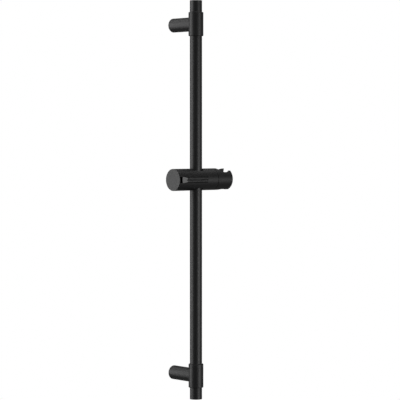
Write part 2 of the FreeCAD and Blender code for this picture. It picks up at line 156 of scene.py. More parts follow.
class SLIDERAIL_PG_bracket(bpy.types.PropertyGroup):
    sleeve_radius: length("Sleeve Radius", "Outer radius of the sleeve", half_width("lower_bracket"))
    sleeve_bore: length("Sleeve Bore", "Radius of the sleeve's bore", 11.05)
    sleeve_round: length("Sleeve Round", "Rounding of the sleeve's ends", 1.2)
    post_radius: length("Post Radius", "Outer radius of the post", 12.65)
    post_round: length("Post Round", "Rounding of the post's end at the wall", 0.6)
    post_reach: length("Post Reach", "How far before the rail's axis the post ends in the sleeve", 2.0)
    socket_radius: length("Socket Radius", "Radius of the socket for the wall boss", 9.05)
    socket_depth: length("Socket Depth", "Depth of the socket for the wall boss", 16.0)
    core_radius: length("Core Radius", "Radius of the hollow behind the socket", 5.5)
    core_depth: length("Core Depth", "Depth of the hollow behind the socket", 33.6)
    thread_radius: length("Thread Radius", "Radius of the hole for the clamp screw", 3.03)
    grub_radius: length("Grub Radius", "Radius of the hole for the grub screw", 2.53)
    grub_place: length("Grub Place", "Distance of the grub screw from the wall", 7.0)
    boss_radius: length("Boss Radius", "Radius of the wall boss", half_width("lower_wall_boss"))
    boss_bore: length("Boss Bore", "Radius of the boss's screw hole", 2.7)
    boss_head: length("Boss Head", "Radius of the seat for the screw's head", 5.25)
    boss_head_depth: length("Boss Head Depth", "Depth of the seat for the screw's head", 4.0)
    boss_groove: length("Boss Groove", "Depth of the groove for the grub screw", 0.8)
    boss_groove_width: length("Boss Groove Width", "Width of the groove for the grub screw", 5.6)
    boss_round: length("Boss Round", "Rounding of the boss's edges", 0.3)


class SLIDERAIL_PG_slider(bpy.types.PropertyGroup):
    body_radius: length("Body Radius", "Outer radius of the slider", 19.7)
    body_round: length("Body Round", "Rounding of the slider's turned edges", 0.4)
    chamber_radius: length("Chamber Radius", "Radius of the hollow left end", 16.5)
    chamber_end: length("Chamber End", "Distance of the hollow's floor from the rail's axis", 16.5)
    web_bore: length("Web Bore", "Radius of the hole round the rail between the bushes", 12.0)
    web_half: length("Web Half", "Half height of the web between the bushes", 6.0)
    bush_seat: length("Bush Seat", "Radius of the bushes' seats", 13.0)
    bush_inner: length("Bush Inner", "Radius of the bushes' bores", 11.1)
    bush_outer: length("Bush Outer", "Outer radius of the bushes", half_width("upper_bush"))
    bush_round: length("Bush Round", "Rounding of the bushes' edges", 0.3)
    slot_half: length("Slot Half", "Half height of the lever's slot", 5.5)
    slot_right: length("Slot Right", "Right end of the lever's slot", 12.3)
    slot_floor: length("Slot Floor", "Distance of the slot's floor from the rail's axis", 13.4)
    pad_hole: length("Pad Hole", "Radius of the hole for the brake pad", 4.4)
    pin_hole: length("Pin Hole", "Radius of the hole for the lever's pin", 1.52)
    pin_top: length("Pin Top", "Height of the upper end of the pin's hole", 9.0)
    knuckle_room: length("Knuckle Room", "Radius of the hollow for the lever's knuckle", 3.55)
    recess_radius: length("Recess Radius", "Radius of the recess for the holder", 13.0)
    recess_depth: length("Recess Depth", "Depth of the recess for the holder", 5.3)
    thread_radius: length("Thread Radius", "Radius of the hole for the pivot screw", 3.03)
    thread_end: length("Thread End", "Distance of the hole's floor from the rail's axis", 18.0)
    stop_inner: length("Stop Inner", "Inner radius of the groove for the stop", 6.2)
    stop_outer: length("Stop Outer", "Outer radius of the groove for the stop", 9.8)
    stop_depth: length("Stop Depth", "Depth of the groove for the stop", 2.9)
    stop_turn: angle("Stop Turn", "Sweep of the groove for the stop", 168.0)
    spring_place: length("Spring Place", "Distance of the spring from the rail's axis", 28.0)
    post_front: length("Post Front", "Distance of the spring post's front behind the rail's axis", 4.2)
    post_radius: length("Post Radius", "Radius of the spring post", 4.5)
    nub_length: length("Nub Length", "Length of the nub in the spring", 3.0)
    nub_radius: length("Nub Radius", "Radius of the nub in the spring", 2.2)
    cap_ring: length("Cap Ring", "Outer radius of the end cap's ring", 16.45)
    cap_ring_inner: length("Cap Ring Inner", "Inner radius of the end cap's ring", 14.45)
    cap_ring_length: length("Cap Ring Length", "Length of the end cap's ring", 6.0)
    cap_window: length("Cap Window", "Half height of the gap in the end cap's ring", 6.3)
    cap_round: length("Cap Round", "Rounding of the end cap's rim", 0.5)


class SLIDERAIL_PG_lever(bpy.types.PropertyGroup):
    left: length("Left", "Distance of the lever's left end from the rail's axis", 45.9)
    right: length("Right", "Distance of the lever's right end from the rail's axis", 12.0)
    half: length("Half", "Half height of the lever", 5.2)
    back: length("Back", "Distance of the lever's back from the rail's axis", 13.8)
    rib_count: count("Rib Count", "Number of ribs along the lever", 2)
    rib_depth: length("Rib Depth", "Depth of the grooves between the ribs", 0.5)
    rib_proud: length("Rib Proud", "How far the ribs stand out of the slider's round", 0.2)
    ramp_length: length("Ramp Length", "Length of the thumb ramp at the left end", 10.6)
    ramp_drop: length("Ramp Drop", "How deep the ramp lies at the left end", 2.3)
    arm_left: length("Arm Left", "Distance of the arm's left end from the rail's axis", 36.5)
    arm_right: length("Arm Right", "Distance of the arm's right end from the rail's axis", 19.0)
    arm_inner: length("Arm Inner", "Distance of the arm's inner face from the rail's axis", 6.0)
    pivot_x: length("Pivot X", "Distance of the pivot to the left of the rail's axis", 13.5)
    knuckle: length("Knuckle", "Radius of the knuckle", 3.15)
    pin_hole: length("Pin Hole", "Radius of the hole for the pin", 1.55)
    pad_seat: length("Pad Seat", "Radius of the seat for the brake pad", 3.5)
    pad_depth: length("Pad Depth", "Depth of the seat for the brake pad", 1.5)
    spring_seat: length("Spring Seat", "Radius of the seat for the spring", 3.9)
    spring_depth: length("Spring Depth", "Depth of the seat for the spring", 4.0)
    edge_round: length("Edge Round", "Rounding of the lever's edges", 0.15)
    spring_radius: length("Spring Radius", "Outer radius of the spring", 3.5)
    spring_wire: length("Spring Wire", "Diameter of the spring's wire", 0.9)
    spring_turns: count("Spring Turns", "Number of the spring's turns", 5)


class SLIDERAIL_PG_holder(bpy.types.PropertyGroup):
    left: length("Left", "Distance of the holder's left face from the rail's axis", 38.0)
    right: length("Right", "Distance of the holder's right face from the rail's axis", 72.0)
    end_round: length("End Round", "Rounding of the right end", 0.7)
    spigot_radius: length("Spigot Radius", "Radius of the spigot in the slider", 12.9)
    spigot_end: length("Spigot End", "Distance of the spigot's end from the rail's axis", 32.3)
    ring_place: length("Ring Place", "Distance of the friction ring from the rail's axis", 34.9)
    ring_radius: length("Ring Radius", "Middle radius of the friction ring", 11.95)
    ring_cord: length("Ring Cord", "Thickness of the friction ring", 2.0)
    groove_width: length("Groove Width", "Width of the friction ring's groove", 2.4)
    groove_floor: length("Groove Floor", "Radius of the floor of the friction ring's groove", 10.9)
    socket_place: length("Socket Place", "Distance of the socket from the rail's axis", 57.8)
    socket_top: length("Socket Top", "Radius of the socket at the top", 12.5)
    socket_bottom: length("Socket Bottom", "Radius of the socket at the bottom", 10.35)
    socket_tilt: angle("Socket Tilt", "How far the socket leans to the front", 11.0)
    mouth_round: length("Mouth Round", "Rounding of the socket's curved edges", 0.35)
    hose_slot: length("Hose Slot", "Half width of the slot for the hose", 9.0)
    bore_end: length("Bore End", "How far before the socket's axis the pivot's bores end", 3.0)
    counterbore: length("Counterbore", "Radius of the seat for the pivot screw's head", 5.6)
    counterbore_floor: length("Counterbore Floor", "Distance of that seat from the rail's axis", 41.625)
    pivot_hole: length("Pivot Hole", "Radius of the hole for the pivot screw", 3.08)
    lug_inner: length("Lug Inner", "Inner radius of the stop lug", 6.5)
    lug_outer: length("Lug Outer", "Outer radius of the stop lug", 9.5)
    lug_length: length("Lug Length", "Length of the stop lug", 2.6)
    lug_turn: angle("Lug Turn", "Sweep of the stop lug", 16.0)
    screw_radius: length("Screw Radius", "Radius of the pivot screw's shank", 3.0)
    screw_tip: length("Screw Tip", "Distance of the screw's tip from the rail's axis", 19.0)
    head_radius: length("Head Radius", "Radius of the screw's head and of the washer", 5.0)
    head_base: length("Head Base", "Distance of the head's base from the rail's axis", 42.475)
    head_top: length("Head Top", "Distance of the head's top from the rail's axis", 45.875)
    head_round: length("Head Round", "Rounding of the head", 0.5)
    tip_round: length("Tip Round", "Rounding of the screw's tip", 0.4)
    edge_round: length("Edge Round", "Rounding of the washer and of the head's lower edge", 0.1)
    key_width: length("Key Width", "Width of the key socket across its flats", 4.0)
    key_depth: length("Key Depth", "Depth of the key socket", 2.2)
    washer_base: length("Washer Base", "Distance of the washer's base from the rail's axis", 41.675)
    washer_bore: length("Washer Bore", "Radius of the washer's hole", 3.03)


class SLIDERAIL_PG_finishes(bpy.types.PropertyGroup):
    coat_colour: colour("Coat Colour", "Colour of the matt coat", (0.0090, 0.0090, 0.0093))
    coat_roughness: share("Coat Roughness", "Mean roughness of the matt coat", 0.46)
    coat_rubbed: share("Coat Rubbed", "How much smoother the coat is on the thumb ramp", 0.13)
    coat_grain: length("Coat Grain", "Width of the ripples in the coat", 0.9)
    coat_depth: length("Coat Depth", "Height of the ripples in the coat", 0.012)
    plug_colour: colour("Plug Colour", "Colour of the plugs", (0.012, 0.012, 0.012))
    plug_roughness: share("Plug Roughness", "Mean roughness of the plugs", 0.46)
    glide_colour: colour("Glide Colour", "Colour of the bushes and clamp pads", (0.035, 0.035, 0.036))
    bush_roughness: share("Bush Roughness", "Mean roughness of the bushes", 0.36)
    pad_roughness: share("Pad Roughness", "Mean roughness of the clamp pads", 0.4)
    rubber_colour: colour("Rubber Colour", "Colour of the rubber pieces", (0.016, 0.016, 0.016))
    steel_colour: colour("Steel Colour", "Colour of screws and spring", (0.55, 0.55, 0.56))
    steel_roughness: share("Steel Roughness", "Roughness of the spring and the pivot", 0.32)
    screw_roughness: share("Screw Roughness", "Roughness of the small screws", 0.36)
    pin_colour: colour("Pin Colour", "Colour of the blackened lever pin", (0.018, 0.018, 0.019))
    pin_roughness: share("Pin Roughness", "Roughness of the lever pin", 0.38)
    brass_colour: colour("Brass Colour", "Colour of the wall bosses", (0.66, 0.47, 0.20))
    brass_roughness: share("Brass Roughness", "Roughness of the wall bosses", 0.34)


class SLIDERAIL_PG_stage(bpy.types.PropertyGroup):
    camera_azimuth: angle("Camera Azimuth", "Where the camera stands, from straight in front", -40.5)
    camera_distance: length("Camera Distance", "Level distance of the camera from the rail", 3322.0)
    camera_height: length("Camera Height", "Height of the camera above the lower wall fixing", 438.6)
    camera_pitch: angle("Camera Pitch", "How far the camera looks down", 2.078)
    camera_turn: angle("Camera Turn", "How far the camera looks to the right of the rail", 0.126)
    camera_lens: FloatProperty(
        name="Camera Lens", description="Focal length of the camera, in millimetres",
        subtype="DISTANCE_CAMERA", unit="CAMERA", min=1.0, default=165.8)
    left_light: brightness("Left Light", "Brightness of the soft light on the left", 3.1)
    left_turn: angle("Left Turn", "Where the left light stands, round from the camera", -86.6)
    left_height: length("Left Height", "Height of the left light's middle", 600.0)
    left_width: length("Left Width", "Width of the left light", 1600.0)
    left_tall: length("Left Tall", "Height of the left light's panel", 2610.0)
    right_light: brightness("Right Light", "Brightness of the soft light on the right", 4.6)
    right_turn: angle("Right Turn", "Where the right light stands, round from the camera", 58.0)
    right_height: length("Right Height", "Height of the right light's middle", 65.0)
    right_width: length("Right Width", "Width of the right light", 1250.0)
    right_tall: length("Right Tall", "Height of the right light's panel", 1000.0)
    side_out: length("Side Out", "How far out from the rail the left and right lights stand", 2200.0)
    back_light: brightness("Back Light", "Brightness of the soft light high up behind", 2.0)
    back_turn: angle("Back Turn", "Where the back light hangs, round from the camera", -132.0)
    back_out: length("Back Out", "How far out from the rail the back light hangs", 2000.0)
    back_height: length("Back Height", "Height of the back light's middle", 1900.0)
    back_size: length("Back Size", "Side of the back light", 800.0)
    top_light: brightness("Top Light", "Brightness of the soft light above", 2.5)
    top_turn: angle("Top Turn", "Where the top light hangs, round from the camera", 120.0)
    top_out: length("Top Out", "How far out from the rail the top light hangs", 300.0)
    top_height: length("Top Height", "Height of the top light's middle", 2400.0)
    top_size: length("Top Size", "Side of the top light", 1640.0)
    ambient: share("Ambient", "Brightness of the light from all round", 0.04)
    gloss_share: share("Gloss Share", "How much of the white surroundings shows in gloss", 0.14)
    floor_drop: length("Floor Drop", "How far the floor lies under the rail", 400.0)
    floor_radius: length("Floor Radius", "Radius of the floor", 2300.0)
    floor_colour: colour("Floor Colour", "Colour of the floor", (0.86, 0.86, 0.86))
    fade_start: share("Fade Start", "Share of the radius where the floor starts to fade into white", 0.25)
    fade_end: share("Fade End", "Share of the radius where the floor is white", 0.95)


class SLIDERAIL_PG_settings(bpy.types.PropertyGroup):
    rail: PointerProperty(type=SLIDERAIL_PG_rail)
    bracket: PointerProperty(type=SLIDERAIL_PG_bracket)
    slider: PointerProperty(type=SLIDERAIL_PG_slider)
    lever: PointerProperty(type=SLIDERAIL_PG_lever)
    holder: PointerProperty(type=SLIDERAIL_PG_holder)
    finishes: PointerProperty(type=SLIDERAIL_PG_finishes)
    stage: PointerProperty(type=SLIDERAIL_PG_stage)


# Shader maths
class Flow:
    """A node's output, which can be added, subtracted and multiplied."""

    def __init__(self, finish, socket):
        self.finish = finish
        self.socket = socket

    def maths(self, operation, first, second):
        """A Math node on two values."""
        return self.finish.node("ShaderNodeMath", {"operation": operation}, {0: first, 1: second})

    def __add__(self, other):
        return self.maths("ADD", self, other)

    def __sub__(self, other):
        return self.maths("SUBTRACT", self, other)

    def __rsub__(self, other):
        return self.maths("SUBTRACT", other, self)

    def __mul__(self, other):
        return self.maths("MULTIPLY", self, other)


class Finish:
    """A node tree that is filled node by node."""

    def __init__(self, owner):
        owner.use_nodes = True
        self.owner = owner
        self.tree = owner.node_tree
        self.tree.nodes.clear()

    def node(self, kind, settings=None, sockets=None, output=0):
        """Adds a node, sets it up, fills or links its sockets and gives one of its outputs."""
        made = self.tree.nodes.new(kind)
        for name, value in (settings or {}).items():
            if name == "stops":
                self.set_stops(made.color_ramp, value)
            else:
                setattr(made, name, value)
        for name, value in (sockets or {}).items():
            if isinstance(value, Flow):
                self.tree.links.new(value.socket, made.inputs[name])
            else:
                made.inputs[name].default_value = value
        return Flow(self, made.outputs[output]) if len(made.outputs) else None

    def set_stops(self, ramp, stops):
        """Gives a ramp its stops of place and grey."""
        while len(ramp.elements) < len(stops):
            ramp.elements.new(1.0)
        for element, (place, value) in zip(ramp.elements, stops):
            element.position = place
            element.color = (value, value, value, 1.0)

    def place(self):
        """The point on the piece, in the shared frame."""
        return self.node("ShaderNodeTexCoord", output="Object")

    def noise(self, size, detail=2.0, roughness=0.5, place=None):
        """Noise from 0 to 1 with features of about one size, in metres."""
        return self.node("ShaderNodeTexNoise", {}, {
            "Vector": place or self.place(),
            "Scale": 1.0 / size,
            "Detail": detail,
            "Roughness": roughness,
        })

    def ramp(self, value, stops):
        """A value led along stops of place and grey."""
        return self.node("ShaderNodeValToRGB", {"stops": stops}, {"Fac": value})

    def vary(self, mean, *parts):
        """A value about its mean, moved by noises that each have a share."""
        moves = [noise * part for noise, part in parts]
        return sum(moves[1:], moves[0]) + (mean - sum(part for _, part in parts) / 2)

    def tinted(self, factor, tint, start, end):
        """A tint that goes from one share of its brightness to another."""
        sockets = {0: factor, 6: shade(tint, start), 7: shade(tint, end)}
        return self.node("ShaderNodeMix", {"data_type": "RGBA"}, sockets, output=2)

    def vector(self, operation, first, second):
        """Maths on two vectors."""
        return self.node("ShaderNodeVectorMath", {"operation": operation}, {0: first, 1: second})

    def reach(self, centre, axis):
        """Distance from an axis through the centre."""
        across = self.vector("MULTIPLY", self.vector("SUBTRACT", self.place(), centre), ACROSS[axis])
        return self.node("ShaderNodeVectorMath", {"operation": "LENGTH"}, {0: across}, output="Value")

    def bump(self, height, depth):
        """A normal that follows a height from 0 to 1, with its depth in metres."""
        return self.node("ShaderNodeBump", {}, {"Height": height, "Distance": depth})

    def surface(self, sockets):
        """The surface shader and the material's output."""
        shader = self.node("ShaderNodeBsdfPrincipled", {}, sockets)
        self.node("ShaderNodeOutputMaterial", {}, {"Surface": shader})
        return self.owner


def shade(tint, factor):
    """A colour made lighter or darker, with full cover."""
    return tuple(min(1.0, part * factor) for part in tint) + (1.0,)


# Finishes
def coat(finishes, name, grain_scale=1.0, rubbed_to=None):
    """Matt coat: a fine ripple, faint patches and a dull sheen, smoother where thumbs rub it."""
    patch_share = 0.06
    speck_share = 0.04
    finish = Finish(bpy.data.materials.new(name))
    ripple = finish.noise(size=finishes.coat_grain * grain_scale, detail=3.0, roughness=0.6)
    patches = finish.noise(size=24 * MM, detail=3.0, roughness=0.6)
    speck = finish.noise(size=0.25 * MM, detail=1.0)
    dull = finish.vary(finishes.coat_roughness, (patches, patch_share), (speck, speck_share))
    if rubbed_to is not None:
        across = finish.node("ShaderNodeSeparateXYZ", {}, {"Vector": finish.place()}, output="X")
        rubbed = finish.node("ShaderNodeMath", {"operation": "LESS_THAN"}, {0: across, 1: rubbed_to})
        dull = dull - rubbed * finishes.coat_rubbed
    return finish.surface({
        "Base Color": finish.tinted(patches, finishes.coat_colour, start=0.85, end=1.15),
        "Roughness": dull,
        "Normal": finish.bump(ripple, depth=finishes.coat_depth * grain_scale),
    })


def moulded(name, tint, roughness):
    """Moulded plastic: an even spark-eroded grain and a slight bloom."""
    grain_share = 0.08
    bloom_share = 0.06
    finish = Finish(bpy.data.materials.new(name))
    grain = finish.noise(size=0.22 * MM, detail=2.0, roughness=0.7)
    bloom = finish.noise(size=6 * MM, detail=2.0)
    return finish.surface({
        "Base Color": finish.tinted(bloom, tint, start=0.85, end=1.2),
        "Roughness": finish.vary(roughness, (grain, grain_share), (bloom, bloom_share)),
        "Normal": finish.bump(grain, depth=0.012 * MM),
    })


def rubber(name, tint):
    """Dull rubber with a fine grain and a dusty bloom."""
    roughness = 0.75
    grain_share = 0.1
    finish = Finish(bpy.data.materials.new(name))
    grain = finish.noise(size=0.15 * MM, detail=3.0, roughness=0.7)
    bloom = finish.noise(size=3 * MM, detail=3.0)
    return finish.surface({
        "Base Color": finish.tinted(bloom, tint, start=0.8, end=1.5),
        "Roughness": finish.vary(roughness, (grain, grain_share)),
        "Normal": finish.bump(grain, depth=0.015 * MM),
    })


def turned_metal(name, tint, centre, axis, roughness):
    """Turned metal: fine tool marks round its axis and a little tarnish."""
    clean = 0.35
    dulled = 0.75
    mark_share = 0.12
    tarnish_share = 0.12
    polish = 0.08
    finish = Finish(bpy.data.materials.new(name))
    line = finish.node("ShaderNodeCombineXYZ", {}, {"X": finish.reach(centre, axis)})
    marks = finish.noise(size=0.12 * MM, detail=2.0, roughness=0.6, place=line)
    tarnish = finish.noise(size=4 * MM, detail=4.0, roughness=0.6)
    worn = finish.ramp(tarnish, [(clean, 0.0), (dulled, 1.0)])
    return finish.surface({
        "Base Color": finish.tinted(worn, tint, start=1.0, end=0.72),
        "Metallic": 1.0,
        "Roughness": marks * mark_share + worn * tarnish_share + (roughness - polish),
        "Normal": finish.bump(marks, depth=0.006 * MM),
    })


# Where the pieces are
def middle(node):
    """The middle of a CAD node's box."""
    low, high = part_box(node)
    return (low + high) / 2


def rail_axis(height=0.0):
    """A point on the rail's axis at one height."""
    return Vector((middle("rail_tube").x, middle("rail_tube").y, height))


def slider_centre():
    """Where the slider's axis crosses the rail's axis."""
    return rail_axis(middle("slider_body").z)


def lever_pivot(lever, centre):
    """The middle of the pin that the lever rocks on."""
    return centre + Vector((-lever.pivot_x, -lever.back, 0))


# Shapes
def tidy(shape):
    """Merges doubled points and turns all faces outwards."""
    bmesh.ops.remove_doubles(shape, verts=shape.verts[:], dist=MERGE)
    bmesh.ops.recalc_face_normals(shape, faces=shape.faces[:])
    return shape


def round_corner(shape, corner, radius, segments=CORNER_STEPS):
    """Rounds one corner of an outline."""
    bmesh.ops.bevel(
        shape, geom=[corner], offset=radius, offset_type="OFFSET", segments=segments,
        profile=0.5, affect="VERTICES", clamp_overlap=True, material=-1)


def spun(shape, centre, axis, steps):
    """A line spun once round an axis."""
    bmesh.ops.spin(
        shape, geom=shape.verts[:] + shape.edges[:], cent=centre, axis=axis,
        angle=2 * math.pi, steps=steps, use_merge=True)
    return tidy(shape)


def turned(axis, centre, points, steps=STEPS):
    """A turned shape about an axis. Each point is its place along it, its radius and its rounding."""
    along, out = AXES[axis]
    shape = bmesh.new()
    corners = [shape.verts.new(centre + along * place + out * radius) for place, radius, _ in points]
    for first, second in zip(corners, corners[1:]):
        shape.edges.new((first, second))
    if all(radius > 0 for _, radius, _ in points):
        shape.edges.new((corners[-1], corners[0]))
    for corner, (_, _, rounding) in zip(corners, points):
        if rounding:
            round_corner(shape, corner, rounding)
    return spun(shape, centre, along, steps)


def rod(axis, centre, low, high, radius, steps=SMALL_STEPS):
    """A plain rod, for cuts and joins."""
    return turned(axis, centre, [(low, 0, 0), (low, radius, 0), (high, radius, 0), (high, 0, 0)], steps)


def tube(axis, centre, low, high, inner, outer, rounding=0.0, steps=STEPS):
    """A plain tube with rounded outer edges."""
    points = [(low, inner, 0), (low, outer, rounding), (high, outer, rounding), (high, inner, 0)]
    return turned(axis, centre, points, steps)


def extruded(outline, step):
    """A flat outline drawn out by one step. Each point has its rounding."""
    shape = bmesh.new()
    corners = [shape.verts.new(point) for point, _ in outline]
    shape.faces.new(corners)
    for corner, (_, rounding) in zip(corners, outline):
        if rounding:
            round_corner(shape, corner, rounding, ARC_STEPS)
    made = bmesh.ops.extrude_face_region(shape, geom=shape.faces[:])
    ends = [part for part in made["geom"] if isinstance(part, bmesh.types.BMVert)]
    bmesh.ops.translate(shape, verts=ends, vec=step)
    return tidy(shape)


def block(low, high):
    """A box between two corners."""
    shape = bmesh.new()
    size = Matrix.Diagonal((high - low).to_4d())
    bmesh.ops.create_cube(shape, size=1.0, matrix=Matrix.Translation((low + high) / 2) @ size)
    return shape


def swept(left, right, inner, outer, centre, turn, steps=SWEEP_STEPS):
    """A stretch of ring about the slider's axis, half the turn to each side."""
    shape = bmesh.new()
    corners = ((left, inner), (right, inner), (right, outer), (left, outer))
    face = shape.faces.new([shape.verts.new(centre + Vector((x, 0, z))) for x, z in corners])
    bmesh.ops.rotate(shape, verts=shape.verts[:], cent=centre, matrix=Matrix.Rotation(-turn / 2, 3, "X"))
    bmesh.ops.spin(
        shape, geom=shape.verts[:] + shape.edges[:] + [face], cent=centre, axis=(1, 0, 0),
        angle=turn, steps=steps, use_merge=False)
    return tidy(shape)


def solid(name, shape):
    """An object with the shape's mesh."""
    mesh = bpy.data.meshes.new(name)
    shape.to_mesh(mesh)
    shape.free()
    made = bpy.data.objects.new(name, mesh)
    bpy.context.scene.collection.objects.link(made)
    return made


def settle(made):
    """Puts what the modifiers make into the mesh."""
    graph = bpy.context.evaluated_depsgraph_get()
    mesh = bpy.data.meshes.new_from_object(made.evaluated_get(graph))
    mesh.name = made.name
    made.modifiers.clear()
    made.data = mesh


def carved(name, base, joins=(), cuts=()):
    """A solid with other shapes joined to it and then cut from it, worked in millimetres."""
    made = solid(name, base)
    made.data.transform(Matrix.Scale(1 / MM, 4))
    tools = []
    for operation, shapes in (("UNION", joins), ("DIFFERENCE", cuts)):
        for shape in shapes:
            tool = solid(name + "_tool", shape)
            tool.data.transform(Matrix.Scale(1 / MM, 4))
            tools.append(tool)
            step = made.modifiers.new(operation.lower(), "BOOLEAN")
            step.operation = operation
            step.solver = "MANIFOLD"
            step.object = tool
    settle(made)
    for tool in tools:
        mesh = tool.data
        bpy.data.objects.remove(tool)
        bpy.data.meshes.remove(mesh)
    if len(made.data.polygons) == 0:
        raise RuntimeError(name + " came out empty")
    shape = bmesh.new()
    shape.from_mesh(made.data)
    bmesh.ops.remove_doubles(shape, verts=shape.verts[:], dist=MERGE / MM)
    bmesh.ops.dissolve_degenerate(shape, edges=shape.edges[:], dist=MERGE / MM)
    bmesh.ops.scale(shape, verts=shape.verts[:], vec=(MM, MM, MM))
    shape.to_mesh(made.data)
    shape.free()
    return made


def smooth(made, sharp_angle):
    """Shades round faces smoothly and keeps sharp edges sharp."""
    made.data.shade_smooth()
    made.data.set_sharp_from_angle(angle=math.radians(sharp_angle))
    step = made.modifiers.new("even_shading", "WEIGHTED_NORMAL")
    step.keep_sharp = True


def paint(made, material):
    """Gives a piece its one material."""
    made.data.materials.clear()
    made.data.materials.append(material)


def fit(made, body, node, material, sharp_angle=SHARP_ANGLE):
    """Lets a finished piece stand for its CAD node, on its body and in its finish."""
    smooth(made, sharp_angle)
    paint(made, material)
    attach(made, body)
    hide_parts(node)


# Pieces
class SLIDERAIL_OT_rail(bpy.types.Operator):
    """Makes the rail tube and the plugs in its ends"""
    bl_idname = "sliderail.rail"
    bl_label = "Rail"

    def execute(self, context):
        rail = context.scene.slide_rail.rail
        finishes = context.scene.slide_rail.finishes
        low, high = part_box("rail_tube")
        axis = rail_axis()
        inner = rail.tube_radius - rail.tube_wall
        shape = tube("Z", axis, low.z, high.z, inner, rail.tube_radius, rail.seam_round)
        long_edges = [edge for edge in shape.edges if edge.calc_length() > (high.z - low.z) / 2]
        bmesh.ops.subdivide_edges(shape, edges=long_edges, cuts=TUBE_CUTS, use_grid_fill=True)
        made = solid("rail_tube_rounded", shape)
        fit(made, "rail", "rail_tube", coat(finishes, "tube_coat"))
        plastic = moulded("plug_plastic", finishes.plug_colour, finishes.plug_roughness)
        for node, inward in (("bottom_plug", 1), ("top_plug", -1)):
            low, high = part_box(node)
            end = low.z if inward > 0 else high.z
            far = high.z if inward > 0 else low.z
            made = solid(node + "_rounded", self.plug(rail, axis, end, far, inward))
            fit(made, "rail", node, plastic)
        return {"FINISHED"}

    def plug(self, rail, axis, end, far, inward):
        """A flat head with a hollow spigot."""
        spigot = rail.tube_radius - rail.tube_wall - rail.plug_fit
        under = end + inward * rail.plug_head
        return turned("Z", axis, [
            (end, 0, 0),
            (end, rail.tube_radius, rail.plug_round),
            (under, rail.tube_radius, rail.seam_round),
            (under, spigot, 0),
            (far, spigot, rail.seam_round),
            (far, spigot - rail.plug_wall, 0),
            (under, spigot - rail.plug_wall, 0),
            (under, 0, 0),
        ])


class SLIDERAIL_OT_brackets(bpy.types.Operator):
    """Makes the two brackets that hold the rail off the wall"""
    bl_idname = "sliderail.brackets"
    bl_label = "Brackets"

    def execute(self, context):
        bracket = context.scene.slide_rail.bracket
        material = coat(context.scene.slide_rail.finishes, "casting_coat", grain_scale=1.2)
        for node in ("lower_bracket", "upper_bracket"):
            low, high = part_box(node)
            made = self.casting(bracket, node + "_rounded", low, high)
            fit(made, "rail", node, material)
        return {"FINISHED"}

    def casting(self, bracket, name, low, high):
        """A sleeve and a post, with the rail's bore and the hollow for the boss and the clamp screw."""
        axis = rail_axis()
        height = (low.z + high.z) / 2
        wall = Vector((axis.x, 0, height))
        inside = axis.y + bracket.post_reach
        sleeve = turned("Z", axis, [
            (low.z, 0, 0),
            (low.z, bracket.sleeve_radius, bracket.sleeve_round),
            (high.z, bracket.sleeve_radius, bracket.sleeve_round),
            (high.z, 0, 0),
        ])
        post = turned("Y", wall, [
            (0, 0, 0),
            (0, bracket.post_radius, bracket.post_round),
            (inside, bracket.post_radius, 0),
            (inside, 0, 0),
        ])
        bore = rod("Z", axis, low.z - PAST, high.z + PAST, bracket.sleeve_bore, STEPS)
        hollow = turned("Y", wall, [
            (PAST, 0, 0),
            (PAST, bracket.socket_radius, 0),
            (-bracket.socket_depth, bracket.socket_radius, 0),
            (-bracket.socket_depth, bracket.core_radius, 0),
            (-bracket.core_depth, bracket.core_radius, 0),
            (-bracket.core_depth, bracket.thread_radius, 0),
            (inside, bracket.thread_radius, 0),
            (inside, 0, 0),
        ], SMALL_STEPS)
        grub_axis = Vector((axis.x, -bracket.grub_place, 0))
        grub_hole = rod("Z", grub_axis, height - bracket.post_radius - PAST, height, bracket.grub_radius)
        return carved(name, sleeve, [post], [bore, hollow, grub_hole])


class SLIDERAIL_OT_wall_bosses(bpy.types.Operator):
    """Makes the two turned bosses that the posts slip over"""
    bl_idname = "sliderail.wall_bosses"
    bl_label = "Wall Bosses"

    def execute(self, context):
        bracket = context.scene.slide_rail.bracket
        finishes = context.scene.slide_rail.finishes
        for node in ("lower_wall_boss", "upper_wall_boss"):
            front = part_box(node)[0].y
            centre = Vector((middle(node).x, 0, middle(node).z))
            made = solid(node + "_rounded", self.boss(bracket, centre, front))
            brass = turned_metal(
                node + "_brass", finishes.brass_colour, centre, "Y", finishes.brass_roughness)
            fit(made, "rail", node, brass)
        return {"FINISHED"}

    def boss(self, bracket, centre, front):
        """A bush with a seat for its screw's head and a groove for the grub screw."""
        groove = bracket.boss_radius - bracket.boss_groove
        groove_front = front / 2 - bracket.boss_groove_width / 2
        groove_back = front / 2 + bracket.boss_groove_width / 2
        return turned("Y", centre, [
            (0, bracket.boss_bore, 0),
            (0, bracket.boss_radius, bracket.boss_round),
            (groove_back, bracket.boss_radius, 0),
            (groove_back, groove, 0),
            (groove_front, groove, 0),
            (groove_front, bracket.boss_radius, 0),
            (front, bracket.boss_radius, bracket.boss_round),
            (front, bracket.boss_head, bracket.boss_round),
            (front + bracket.boss_head_depth, bracket.boss_head, 0),
            (front + bracket.boss_head_depth, bracket.boss_bore, 0),
        ])


